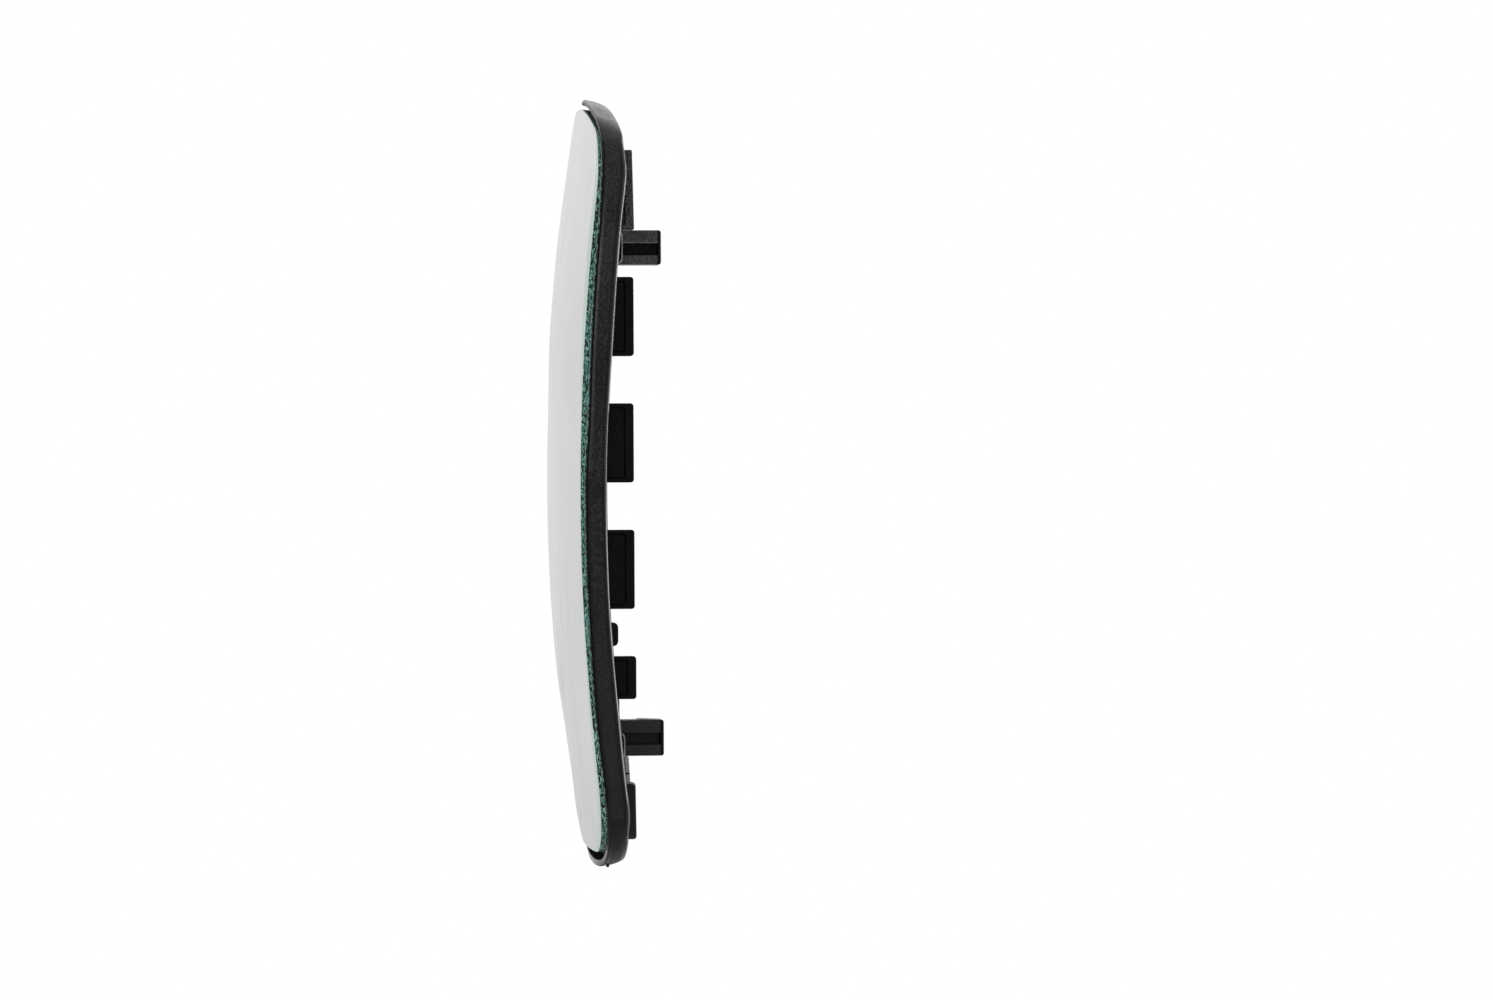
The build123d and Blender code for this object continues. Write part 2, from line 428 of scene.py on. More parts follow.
def groundGroup(values):
    # Ground glass edge: green body, dark pits and pale flecks drawn out along the edge
    group, given, out, _, parts, noises = newGroup("groundEdge", values)
    body, pits, small = noises.values()
    up = parts["Z"]
    # Both ends have more pits, the narrow end more pale flecks, and the wide end lies in the rim's shade
    narrow = addRange(up, *values["narrowUp"], 0.0, 0.04)
    more = addSum(addSum(pits, addRange(up, *values["wideUp"], 0.0, 0.06)), narrow)
    edge = addMix(addRange(body, 0.35, 0.65), values["deepGreen"], values["green"])
    edge = addMix(addRange(addSum(small, narrow), 0.53, 0.61), edge, values["fleck"])
    edge = addMix(addRange(more, 0.50, 0.55), edge, values["pit"])
    edge = addMix(addRange(up, *values["shadeUp"], 0.0, 0.7), edge, values["shade"])
    feed(out["Color"], addMix(given["Pale Share"], edge, given["Pale"]))
    feed(out["Roughness"], addRange(small, 0.3, 0.7, 0.35, 0.65))
    feed(out["Height"], addMath("SUBTRACT", small, addRange(pits, 0.5, 0.65, 0.0, 1.6)))
    return group


skins = {
    "mould": mouldGroup(mouldValues), "pane": paneGroup(paneValues), "ground": groundGroup(groundValues),
}


def newMaterial(name, group="mould", bump=0.4, deep=0.04, shine=0.5, skin=None, plain=None):
    # deep is the height of the bumps in mm
    material = bpy.data.materials.new(name)
    material.use_nodes = True
    tree = material.node_tree
    cover = addNode(tree, "ShaderNodeGroup", skin, node_tree=skins[group]).outputs
    relief = {"Strength": bump, "Distance": deep * mm, "Height": cover["Height"]}
    feedAll(tree.nodes["Principled BSDF"], {
        "Base Color": cover["Color"], "Roughness": cover["Roughness"], "Specular IOR Level": shine,
        "Normal": addNode(tree, "ShaderNodeBump", relief).outputs["Normal"], **(plain or {}),
    })
    return material


looks = {
    "rim": newMaterial("rimPlastic", bump=0.7, deep=0.05, shine=0.14, skin={
        "Dark": grey(0.0005, 0.0006), "Light": grey(0.009, 0.0098),
        "Smooth": 0.2, "Coarse": 0.3, "Flecks": 1.0}),
    "wall": newMaterial("rimWallPlastic", bump=0.8, deep=0.05, shine=0.15, skin={
        "Dark": grey(0.0015, 0.0018), "Light": (0.022, 0.0215, 0.024, 1),
        "Smooth": 0.22, "Coarse": 0.34, "Flecks": 1.0}),
    # A painted highlight along the bead, fading out at its ends
    "beadHighlight": newMaterial("paintedBeadHighlight", shine=0.3, skin={
        "Dark": (0.016, 0.0155, 0.0155, 1), "Light": (0.06, 0.058, 0.058, 1),
        "Smooth": 0.3, "Coarse": 0.45, "Dull Share": 1.0}),
    "backEdge": newMaterial("backEdgePlastic", bump=0.2, deep=0.03, shine=0.45, skin={
        "Dark": grey(0.003), "Light": grey(0.02, 0.0195),
        "Smooth": 0.2, "Coarse": 0.27, "Flecks": 0.4}),
    # A painted highlight along the upper near side of the back edge
    "backGlint": newMaterial("paintedBackGlint", bump=0.3, skin={
        "Dark": grey(0.08, 0.076), "Light": (0.26, 0.255, 0.245, 1), "Fleck": grey(0.5, 0.48),
        "Smooth": 0.24, "Coarse": 0.36, "Flecks": 0.4}),
    "lug": newMaterial("lugPlastic", deep=0.03, shine=0.06, skin={
        "Dark": grey(0.0006), "Light": grey(0.0034)}),
    # The first near lug is painted lighter where the top light falls on it
    "litLug": newMaterial("paintedLitLugPlastic", bump=0.5, shine=0.12, skin={
        "Dark": grey(0.007, 0.0073), "Light": grey(0.058, 0.059), "Flecks": 0.6}),
    # The links are painted lighter where light falls on their sloped faces
    "link": newMaterial("paintedLitLinkPlastic", bump=0.5, shine=0.2, skin={"Dark": grey(0.02), "Light": grey(0.09)}),
    # The lower post's flanges, painted lighter as lit faces, less than the upper post's
    "lowerLitFlange": newMaterial("paintedLowerFlangeLight", bump=0.5, shine=0.16, skin={
        "Dark": grey(0.006, 0.0064), "Light": grey(0.032, 0.034), "Flecks": 0.6}),
    "web": newMaterial("postWebPlastic", shine=0.1, skin={
        "Dark": grey(0.003, 0.0033), "Light": grey(0.014, 0.015)}),
    # The upper post's flanges, painted lighter as lit faces
    "upperLitFlange": newMaterial("paintedUpperFlangeLight", bump=0.6, deep=0.05, shine=0.3, skin={
        "Dark": grey(0.009, 0.0105), "Light": grey(0.065, 0.072),
        "Coarse": 0.52, "Flecks": 0.6}),
    # Painted highlights on the last near lug's upper edge, the upper flange's lower edge, the collar edges
    # and the strip on the lower post
    "worn": newMaterial("paintedGlintPlastic", shine=0.4, skin={
        "Dark": grey(0.06), "Light": grey(0.20, 0.19), "Fleck": grey(0.4),
        "Smooth": 0.35, "Flecks": 0.3}),
    "face": newMaterial("silveredGlass", "pane", bump=0.02, deep=0.02, plain={
        "Metallic": 1.0, "Specular Tint": grey(0.8)}),
    "ground": newMaterial("groundGlassEdge", "ground", bump=0.8, deep=0.12, shine=0.4),
    "seam": newMaterial("seamedGlassLine", "ground", bump=0.2, deep=0.05, skin={
        "Pale": (0.66, 0.76, 0.71, 1), "Pale Share": 0.9}),
    "backSeam": newMaterial("backGlassLine", "ground", bump=0.3, deep=0.05, shine=0.4, skin={
        "Pale": (0.36, 0.46, 0.43, 1), "Pale Share": 0.7}),
}
# The default spread of gloss brightens a rough metal
looks["face"].node_tree.nodes["Principled BSDF"].distribution = "GGX"
print("materials made:", len(looks))

# Glass
glassSizes = {
    "inset": 1.6, "head": 2.5, "foot": 3.75, "rounds": (22.1, 20.0, 60.0, 11.0, 20.0),
    "step": 0.24, "rows": 12, "bevel": 0.12, "bevelTurn": (0.55, 0.4), "backLine": 0.2, "seatGap": 0.05,
    "sharp": 24,
    "wider": {"upper": (0.08, [], [(30, 70)]), "lower": (0.4, [], [(-15, -62)])},
    # The face stands a little fuller over the upper half and flatter toward the far foot
    "lifts": {
        "upperHalf": (0.55, [], [(18, 46)]),
        "wideEnd": (-0.275, [], [(18, 46), (62, 85)]),
        "farFoot": (-0.45, [(35, 0)], [(-42, -58), (-78, -66)]),
    },
    "liftInBevel": (88, 76),
    "chips": {"scales": (1.1, 2.7), "second": 0.6, "even": 0.025, "from": 0.35, "deep": 0.22},
    "faceRings": (0.01, 0.03, 0.07, 0.15, 0.27, 0.4, 0.55, 0.7, 0.85, 0.94), "backRings": (0.2, 0.5, 0.8),
}


def paneEdge(sizes, flat):
    # Inset and depth of each row of the pane's edge, from the two rows of the bevel to the back
    lift = warpAt(sizes["lifts"], flat)
    bevel = sizes["bevel"] + warpAt(sizes["wider"], flat)
    bevel += max(lift, 0) * smooth(*sizes["liftInBevel"], flat.y)
    turnIn, turnBack = sizes["bevelTurn"]
    front, back = bevel - lift, layers["glassThick"] - sizes["seatGap"]
    rows = [(bevel, -lift), (bevel * turnIn, bevel * turnBack - lift)]
    return rows + [(0.0, depth) for depth in between(front, back, sizes["rows"] - 1)]


def chipDeep(chips, row, flat, depth):
    # The bevel's front row stays even, and its second row is chipped half as deep
    if row == 0:
        return 0
    point = Vector((flat.x, depth * 2, flat.y))
    first, second = chips["scales"]
    rough = noise.noise(point * first) + chips["second"] * noise.noise(point * second)
    deep = chips["even"] + max(0, rough - chips["from"]) * chips["deep"]
    return deep / 2 if row == 1 else deep


def paleLine(sizes, flat):
    # Depth of the paler line that runs just in front of the lip
    lip = layers["lip"] + warpAt(lipWarps, flat)
    ahead = ballHeight(flat.x, flat.y, lip, "rim") - ballHeight(flat.x, flat.y, lip, "glass")
    return lip + ahead - sizes["backLine"]


def buildGlass(sizes):
    step = sizes["step"]
    spots = outlineSpots(sizes["inset"], sizes["head"], sizes["foot"], sizes["rounds"], step, step)
    edges = [paneEdge(sizes, spot[0]) for spot in spots]
    lines = [paleLine(sizes, spot[0]) for spot in spots]
    count, total = len(spots), len(edges[0])
    verts = []
    for row in range(total):
        for spot, edge in zip(spots, edges):
            inset, depth = edge[row]
            inset += chipDeep(sizes["chips"], row, spot[0], depth)
            verts.append(wallPoint(spot, inset, depth, "glass"))
    faces = ringFaces(total, count)
    faceLooks = ["seam"] * (2 * count)
    for row in range(2, total - 1):
        for edge, line in zip(edges, lines):
            faceLooks.append("backSeam" if edge[row][1] <= line < edge[row + 1][1] else "ground")
    addCap(verts, faces, range(count), 0.0, sizes["faceRings"])
    for vert in verts[total * count:]:
        vert.y -= warpAt(sizes["lifts"], Vector((vert.x, vert.z)) / mm) * mm
    faceLooks += ["face"] * (len(faces) - len(faceLooks))
    back = edges[0][-1][1]
    addCap(verts, faces, range((total - 1) * count, total * count), back, sizes["backRings"])
    faceLooks += ["ground"] * (len(faces) - len(faceLooks))
    newPiece("mirrorGlass", verts, faces, faceLooks, sizes["sharp"], "mirror_glass")


buildGlass(glassSizes)
print("glass made")

# Rim and plate
rimSizes = {
    "lipRound": 0.35, "backRound": 0.75, "backBulge": 0.084, "innerRound": 0.15, "lipWall": 0.9,
    "footWall": 1.6, "wallRows": 8, "wallStart": 0.22, "fullWall": 2.2, "bowStep": 1.6, "cornerStep": 0.6,
    "bead": 1.0, "beadRows": (0.6, 0.08, 0.0), "step": 0.16, "lowStep": 0.12, "headCrown": 1.0,
    "footCrown": 1.1, "cornerDeeper": 0.35, "footDeeper": 0.5, "seatGap": 0.03, "sharp": 40,
    "deeper": {"upper": (0.75, [], [(5, 45)]), "lower": (0.5, [], [(-20, -58)])},
    "moatFloor": 3.7, "moatWide": 2.5, "moatFoot": 5.2, "moatEdge": 0.1, "lipInside": (0.6, 0.9),
    "moatTurn": ((0.45, 0.0), (0.3, 0.15)), "backParts": (0.0, 0.06, 0.2, 0.5, 0.8, 0.94, 1.0),
    "rootTurn": ((0.0, 0.5, 0.8), (0.15, 0.15, 0.8), (0.5, 0.0, 1.0)),  # inward, up, share of the crown
    "seatRings": (0.06, 0.3, 0.65), "plateRings": (0.03, 0.1, 0.2, 0.32, 0.46, 0.6, 0.74, 0.88),
    # Rows of faces round the section, from the seat of the pane to the back of the plate
    "bands": (("moat", 5), ("lipInside", 6), ("lip", 5), ("bead", 1), ("plain", 2), ("wall", 7), ("plain", 2),
              ("backTurn", 3), ("backTop", 3), ("plain", 7)),
}
rimSpots = outlineSpots(0, 0, 0, outlineSizes["rounds"], rimSizes["bowStep"], rimSizes["cornerStep"])


def crown(sizes, way, share):
    # Both ends round over to the back more than the long sides do
    ends = smooth(0.4, 0.95, abs(way.y))
    return sizes["footCrown" if way.y < 0 else "headCrown"] * ends * min(max(share, 0), 1) ** 2


def rimSection(sizes, flat, way):
    # Rows of inset, depth and ball
    wall, plate, seat = layers["rimWall"], layers["plateBack"], layers["glassThick"] + sizes["seatGap"]
    small, size, floor, edge = (sizes[key] for key in ("innerRound", "backRound", "moatFloor", "moatEdge"))
    lip = layers["lip"] + warpAt(lipWarps, flat)
    back = layers["rimBack"] + warpAt(sizes["deeper"], flat) * smooth(0.75, 0.3, abs(way.y))
    back += sizes["cornerDeeper"] * smooth(66, 82, flat.y) * smooth(0.97, 0.8, way.y)
    back += sizes["footDeeper"] * smooth(-66, -82, flat.y)
    stop = back - size
    # The bead behind the lip ends in a small step that catches the light
    share = min(1.0, (stop - lip) / sizes["fullWall"])
    turn, step = sizes["lipRound"] * share, lip + sizes["bead"] * share
    sunk = sizes["step"] * share * mix(sizes["lowStep"], 1, smooth(-12, 22, flat.y))
    start = step + sunk
    foot = start + sizes["wallStart"] * share
    lipWall = mix(sizes["lipWall"], sizes["footWall"], smooth(0.1, 0.7, -way.y))
    moat = mix(sizes["moatWide"], sizes["moatFoot"], smooth(0.3, 0.8, -way.y))
    least, most = sizes["lipInside"]
    seatRows = [(moat + edge, seat), (moat, seat + edge), (moat - edge, floor)]
    seatRows += [(lipWall + inward, floor - up) for inward, up in sizes["moatTurn"]]
    rows = [(lipWall, min(max(floor, lip + least), lip + most))]
    rows += roundTurn((lipWall - small, lip + small), small, 0, -90, 3)
    rows += roundTurn((turn, lip + turn), turn, -90, -180, 5)
    rows += [(0.0, step - before * share) for before in sizes["beadRows"]]
    rows += [(sunk, start), (sunk, foot)]
    for depth in between(foot, stop, sizes["wallRows"])[1:-1]:
        rows.append((sunk + crown(sizes, way, (depth - start) / (back - start)), depth))
    for part in sizes["backParts"]:
        bulge = sizes["backBulge"] * sin(pi * part)
        inset, depth = size * part - bulge, stop + size * part + bulge
        inset = max(inset, sunk) + crown(sizes, way, (depth - start) / (back - start))
        rows.append((inset, min(depth, back)))
    top = crown(sizes, way, 1.0)
    rows += [(i + top, d) for i, d in roundTurn((wall - small, back - small), small, 90, 0, 3)]
    rootRows = [(wall + inward + top * lean, plate + up) for inward, up, lean in sizes["rootTurn"]]
    balls = ["glass"] * len(seatRows) + ["rim"] * len(rows) + ["glass"] * len(rootRows)
    return [(*row, ball) for row, ball in zip(seatRows + rows + rootRows, balls)]


def rimLook(band, flat, way):
    foot = way.y < -0.3
    if band == "moat":
        return "wall" if foot else "rim"
    if band in ("lipInside", "lip"):
        # The lip is darkest along the near side, a painted shade in the gap behind the pane's edge
        if way.x > 0.7 and -72 < flat.y < 86:
            return "lug"
        return "web" if foot and band == "lip" else "rim"
    if band == "bead" and way.x > 0.3 and flat.y > 4:
        # The bead has a painted highlight along the upper near side
        return "beadHighlight" if 8 < flat.y < 72 else "wall"
    if band == "wall":
        return "web" if way.y < -0.45 else "wall"
    if band in ("backTurn", "backTop") and abs(way.y) <= 0.75:
        # The back edge is polished along the sides and has a painted highlight along the upper near side
        return "backGlint" if band == "backTop" and way.x > 0 and flat.y > 20 else "backEdge"
    return "rim"


def buildRim(sizes):
    columns = [[wallPoint(spot, *row) for row in rimSection(sizes, *spot)] for spot in rimSpots]
    count, total = len(columns), len(columns[0])
    verts = [column[row] for row in range(total) for column in columns]
    faces = ringFaces(total, count)
    faceLooks = []
    for band, rows in sizes["bands"]:
        faceLooks += [rimLook(band, *spot) for spot in rimSpots] * rows
    addCap(verts, faces, range(count), layers["glassThick"] + sizes["seatGap"], sizes["seatRings"])
    addCap(verts, faces, range((total - 1) * count, total * count), layers["plateBack"], sizes["plateRings"])
    faceLooks += ["rim"] * (len(faces) - len(faceLooks))
    newPiece("backingRim", verts, faces, faceLooks, sizes["sharp"])


buildRim(rimSizes)
print("rim made")

# Lugs and links
lugSizes = {
    "inset": 3.0, "thick": 2.6, "long": 18.8, "pitch": 30.0, "first": 83.1,
    "tips": (11.54, 11.25, 11.1, 11.15, 11.45, 11.55), "farTip": 11.25, "farLastLong": 13.1,
    "corner": 0.75, "edge": 0.3, "cornerSteps": 5, "edgeTurns": (0, 30, 60, 90),
    "panelDeep": 0.5, "panelSide": 1.1, "panelTip": 2.2, "panelCorner": 0.5, "panelRound": 0.12,
    "panelEdge": 0.1,
    "endPlaces": (("head", 2.0), ("head", -26.0), ("foot", 14.0)), "endTip": 8.6, "endLean": 1.2,
    "lower": 0, "higher": 0, "lean": 0, "slope": 0, "slopeTurns": (), "look": "lug",
    # The first lug of the near side is painted lighter where the top light falls on it, the last takes the
    # web's look, and the last has a painted highlight along its upper edge
    "odd": {
        0: {"higher": 0.6, "lean": -0.1, "corner": 0.35, "look": "litLug"},
        4: {"long": 10.2},
        5: {"long": 13.1, "lower": 0.9, "lean": 0.83, "look": "web"},
    },
    "glintRow": 5, "glintLevels": (4, 5, 6), "glintColumns": (8, 13),
}


def sideSpots(axis, sign, least):
    spots = [spot for spot in rimSpots if spot[1][axis] * sign > least]
    return sorted(spots, key=lambda spot: spot[0][1 - axis])


sides = {
    "near": sideSpots(0, 1, 0.6), "far": sideSpots(0, -1, 0.6),
    "head": sideSpots(1, 1, 0.75), "foot": sideSpots(1, -1, 0.75),
}


def ringPoint(side, along, inset):
    # The point at a place along one side that lies inset from the outline
    axis = 1 if side in ("near", "far") else 0
    line = sides[side]
    aim = along
    for _ in range(4):
        number = 0
        while number < len(line) - 2 and line[number + 1][0][axis] < aim:
            number += 1
        (a, wayA), (b, wayB) = line[number], line[number + 1]
        share = (aim - a[axis]) / (b[axis] - a[axis])
        share = min(max(share, -2), 3)
        point = a.lerp(b, share) - wayA.lerp(wayB, share).normalized() * inset
        aim += along - point[axis]
    return point


def lugLoop(long, tip, inset, corner, depth):
    # Points of along, height and depth
    low, high, top = inset, long - inset, tip - inset
    loop = [(low, onPlate, depth)]
    for middle, start, end in ((low + corner, 180, 90), (high - corner, 90, 0)):
        turn = roundTurn((middle, top - corner), corner, start, end, lugSizes["cornerSteps"])
        loop += [(x, y, depth) for x, y in turn]
    loop.append((high, onPlate, depth))
    return loop


def panelLoop(sizes, long, tip, grow, depth):
    border = sizes["panelSide"] - grow
    loop = lugLoop(long - 2 * border, tip - sizes["panelTip"] + grow, 0, sizes["panelCorner"], depth)
    return [(x + border, y, z) for x, y, z in loop]


def addLug(verts, faces, side, start, long, tip, sizes, panel=True):
    edge, corner, thick, slope = sizes["edge"], sizes["corner"], sizes["thick"], sizes["slope"]
    deep, turn, lip = sizes["panelDeep"], sizes["panelRound"], sizes["panelEdge"]
    angles = [radians(angle) for angle in sizes["edgeTurns"]]
    loops = []
    if panel:
        for grow, depth in ((-turn, deep), (0, deep - turn), (lip, lip), (2 * lip, 0)):
            loops.append(panelLoop(sizes, long, tip, grow, depth))
    for angle in angles:
        depth = edge * (1 - cos(angle))
        loops.append(lugLoop(long, tip - slope, edge * (1 - sin(angle)), corner, depth))
    for lower, deeper in sizes["slopeTurns"]:
        loops.append(lugLoop(long, tip - lower, 0, corner, slope + deeper))
    for angle in angles:
        depth = thick - edge * (1 - sin(angle))
        loops.append(lugLoop(long, tip, edge * (1 - cos(angle)), corner, depth))
    tube = []
    for loop in loops:
        row = []
        for along, height, depth in loop:
            point = ringPoint(side, start + along, sizes["inset"] + depth)
            if height == onPlate:
                height = plateHeight(point.x, point.y)
            else:
                height += sizes["lean"] * (0.5 - along / long)
            row.append(placed(point.x, height, point.y))
        tube.append(row)
    addTube(verts, faces, tube)


def buildLugs(sizes):
    verts, faces, faceLooks = [], [], []
    lastRow = len(sizes["tips"]) - 1
    columns = 2 * sizes["cornerSteps"] + 4
    for row, tip in enumerate(sizes["tips"]):
        top = sizes["first"] - row * sizes["pitch"]
        here = dict(sizes, **sizes["odd"].get(row, {}))
        start = top - here["long"] - here["lower"]
        addLug(verts, faces, "near", start, here["long"] + here["lower"] + here["higher"], tip, here)
        mine = [here["look"]] * (len(faces) - len(faceLooks))
        if row == sizes["glintRow"]:
            first, end = sizes["glintColumns"]
            for level in sizes["glintLevels"]:
                mine[level * columns + first:level * columns + end] = ["worn"] * (end - first)
        faceLooks += mine
        farLong = sizes["farLastLong"] if row == lastRow else sizes["long"]
        addLug(verts, faces, "far", top - farLong, farLong, sizes["farTip"], sizes)
        faceLooks += ["lug"] * (len(faces) - len(faceLooks))
    ends = dict(sizes, inset=sizes["inset"] + sizes["endLean"])
    for side, place in sizes["endPlaces"]:
        addLug(verts, faces, side, place - sizes["long"] / 2, sizes["long"], sizes["endTip"], ends)
    faceLooks += ["lug"] * (len(faces) - len(faceLooks))
    newPiece("lugRing", verts, faces, faceLooks)


linkSizes = {
    "low": {"ends": (-53.2, -46.8), "tip": 7.4, "look": "link"},
    "high": {"ends": (-67.2, -60.7), "tip": 9.8, "look": "link", "corner": 0.3, "lean": 0.4,
             "slope": 0.8, "slopeTurns": ((0.15, 0.1), (0.0, 0.4))},
    "crossing": {"ends": (-64.95, -64.55), "tip": 9.7, "corner": 0.1, "edge": 0.08, "inset": 2.88},
}


def buildLinks(sizes):
    verts, faces, faceLooks = [], [], []
    for link in sizes.values():
        here = dict(lugSizes, **link)
        low, high = here["ends"]
        addLug(verts, faces, "near", low, high - low, here["tip"], here, False)
        faceLooks += [here["look"]] * (len(faces) - len(faceLooks))
    newPiece("lugLinks", verts, faces, faceLooks)


buildLugs(lugSizes)
buildLinks(linkSizes)
print("lugs made")

# Guide posts
collarSizes = {
    "wide": 4.0, "halves": (3.85, 3.3), "drops": (0.0, 2.1), "tip": 10.3, "fall": 0.7, "turn": 2.2,
    "edge": 0.26, "root": 0.8, "steps": 6,
}
postSizes = {
    "across": 30.0, "rows": (61.1, -57.25), "tips": (19.7, 19.8), "highs": (8.3, 8.7), "deep": 6.0,
    "upper": 3.2, "groove": 2.7, "grooveDeep": 1.6, "grooveRound": 0.22, "grooveEnd": 0.15, "grooveSteps": 5,
    "flangeRound": 1.6, "shut": 0.0001, "band": 0.9, "bandStart": (0.02, 0.1), "root": 2.0, "corner": 0.5,
    "round": 0.6, "roundTurns": (0, 22, 45, 68, 90),
    "webColumns": ((4, 16), (28, 43)), "glintColumns": (16, 19),
    "looks": (("upperLitFlange", "lug", "worn"), ("lowerLitFlange", "web", "lowerLitFlange")),  # flange, web and flange edge
}
stripSizes = {
    "start": 13.5, "end": 19.2, "high": 0.24, "root": 0.3, "inset": 0.3, "startShare": 0.3,
    "rise": (0.5, 1.0), "endHigh": 0.04,
}


def roundedLoop(points, sizes, count=3):
    loop = []
    total = len(points)
    for number in range(total):
        here = Vector(points[number])
        before = Vector(points[number - 1]) - here
        after = Vector(points[(number + 1) % total]) - here
        start = here + before.normalized() * sizes[number]
        end = here + after.normalized() * sizes[number]
        for t in between(0, 1, count):
            loop.append(start * (1 - t) ** 2 + here * 2 * t * (1 - t) + end * t * t)
    return loop


def postLoop(sizes, row, height, grooveDeep, shrink):
    # Channel section; a groove that is shut keeps its corners, hardly apart
    half, high = sizes["deep"] / 2, sizes["highs"][row] / 2
    top = high - sizes["upper"]
    low = top - sizes["groove"]
    inner = half - max(grooveDeep, sizes["shut"])
    points = [
        (half, -high), (half, low), (inner, low), (inner, top), (half, top), (half, high),
        (-half, high), (-half, top), (-inner, top), (-inner, low), (-half, low), (-half, -high),
    ]
    corner, small = sizes["corner"], sizes["grooveRound"] if grooveDeep > 0 else sizes["shut"] / 5
    rounds = [corner, small, small, small, small * sizes["flangeRound"], corner]
    rounds += [corner, small, small, small, small, corner]
    across, up = (half - shrink) / half, (high - shrink) / high
    loop = roundedLoop(points, rounds)
    return [placed(sizes["across"] + p.x * across, height, sizes["rows"][row] + p.y * up) for p in loop]


def buildPosts(sizes):
    verts, faces, faceLooks = [], [], []
    foot, deep, turn, size = collarSizes["tip"], sizes["grooveDeep"], sizes["grooveEnd"], sizes["round"]
    for row, tip in enumerate(sizes["tips"]):
        grooveTip = tip - sizes["band"]
        bandLow, bandHigh = (grooveTip + up for up in sizes["bandStart"])
        levels = [(foot - sizes["root"], deep, 0)]
        for height in between(foot, grooveTip - turn, sizes["grooveSteps"])[1:]:
            levels.append((height, deep, 0))
        levels += [(bandLow, deep - turn, 0), (bandHigh, 0.0, 0)]
        for angle in sizes["roundTurns"]:
            angle = radians(angle)
            levels.append((tip - size + size * sin(angle), 0.0, size * (1 - cos(angle))))
        loops = [postLoop(sizes, row, *level) for level in levels]
        addTube(verts, faces, loops, startFace=False)
        # The flanges are painted lighter as lit faces and the web darker as painted shade in the groove; the
        # end band is dark, and the upper post's flange has a painted highlight along its lower edge
        flange, web, worn = sizes["looks"][row]
        glintFirst, glintEnd = sizes["glintColumns"]
        around = []
        for column in range(len(loops[0])):
            inWeb = any(first <= column < end for first, end in sizes["webColumns"])
            around.append(web if inWeb else worn if glintFirst <= column < glintEnd else flange)
        faceLooks += around * (sizes["grooveSteps"] + 1)
        faceLooks += ["lug"] * (len(faces) - len(faceLooks))
    newPiece("guidePosts", verts, faces, faceLooks)


def buildCollars(sizes):
    # Blocks round the feet of the posts, with painted highlights along their edges
    verts, faces, faceLooks = [], [], []
    wide, edge = sizes["wide"], sizes["edge"]
    for row, up in enumerate(postSizes["rows"]):
        up -= sizes["drops"][row]
        foot = plateHeight(postSizes["across"], up, sizes["root"])
        loops = []
        for across, shrink in ((-wide, edge), (edge - wide, 0), (wide - edge, 0), (wide, edge)):
            half, tip = sizes["halves"][row] - shrink, sizes["tip"] - shrink
            side = []
            for t in between(0, 1, sizes["steps"]):
                side.append((half - sizes["turn"] * t * t, tip - sizes["fall"] * (1 - t) ** 2))
            loop = [(half, foot)] + side + [(-z, y) for z, y in reversed(side)] + [(-half, foot)]
            loops.append([placed(postSizes["across"] + across, y, up + z) for z, y in loop])
        addTube(verts, faces, loops)
        count = len(loops[0])
        faceLooks += ["worn"] * count + ["lug"] * count + ["worn"] * count + ["lug"] * 2
    newPiece("postCollars", verts, faces, faceLooks)


def buildStrip(sizes):
    # A thin wedge on the upper face of the lower post, painted light as a highlight
    half = postSizes["deep"] / 2 - sizes["inset"]
    base = postSizes["rows"][1] + postSizes["highs"][1] / 2
    start, end, high, root = sizes["start"], sizes["end"], sizes["high"], sizes["root"]
    profile = [(start, -root), (start, high * sizes["startShare"])]
    profile += [(start + along, high) for along in sizes["rise"]]
    profile += [(end, sizes["endHigh"]), (end, -root)]
    loops = []
    for across in (-half, half):
        loops.append([placed(postSizes["across"] + across, height, base + up) for height, up in profile])
    tubePiece("postStrip", [loops], "worn")


buildPosts(postSizes)
buildCollars(collarSizes)
buildStrip(stripSizes)
print("posts made")

# Socket and ribs
socketSizes = {
    "bore": 20.0, "wall": 2.0, "tip": 6.5, "slot": 5.0, "floor": 1.5, "round": 0.3,
    "turns": (45, 135, 225, 315), "span": 90, "arcSteps": 30, "ringSteps": 128,
}


def wallSection(low, high, tip, size, root):
    # Section of a wall with a rounded top
    section = [(low, root), (low, tip - size)]
    section += roundTurn((low + size, tip - size), size, 180, 90, 3)[1:]
    section += roundTurn((high - size, tip - size), size, 90, 0, 3)
    return section + [(high, root)]


def buildSocket(sizes):
    # Four arcs of the split clip ring, on a low closed ring
    verts, faces = [], []
    inner, outer, ringSteps = sizes["bore"], sizes["bore"] + sizes["wall"], sizes["ringSteps"]

    def station(angle, tip):
        row = []
        for reach, height in wallSection(inner, outer, tip, sizes["round"], onPlate):
            x, z = reach * cos(angle), reach * sin(angle)
            row.append(placed(x, plateHeight(x, z) if height == onPlate else height, z))
        return row

    half = asin(sizes["slot"] / (inner + outer))
    for turn in sizes["turns"]:
        start = radians(turn) + half
        end = radians(turn + sizes["span"]) - half
        arc = [station(angle, sizes["tip"]) for angle in between(start, end, sizes["arcSteps"])]
        addTube(verts, faces, arc, closed=False)
    first = len(verts)
    ring = [station(2 * pi * step / ringSteps, sizes["floor"]) for step in range(ringSteps)]
    count = len(ring[0])
    for step in range(ringSteps):
        verts += ring[step]
        here, beside = first + step * count, first + (step + 1) % ringSteps * count
        faces += [(here + n, beside + n, beside + n + 1, here + n + 1) for n in range(count - 1)]
    newPiece("adjusterSocket", verts, faces, "rim")


ribSizes = {"wide": 1.4, "high": 1.5, "spokes": 8, "round": 0.3, "start": 21.0, "inset": 4.3, "step": 4}


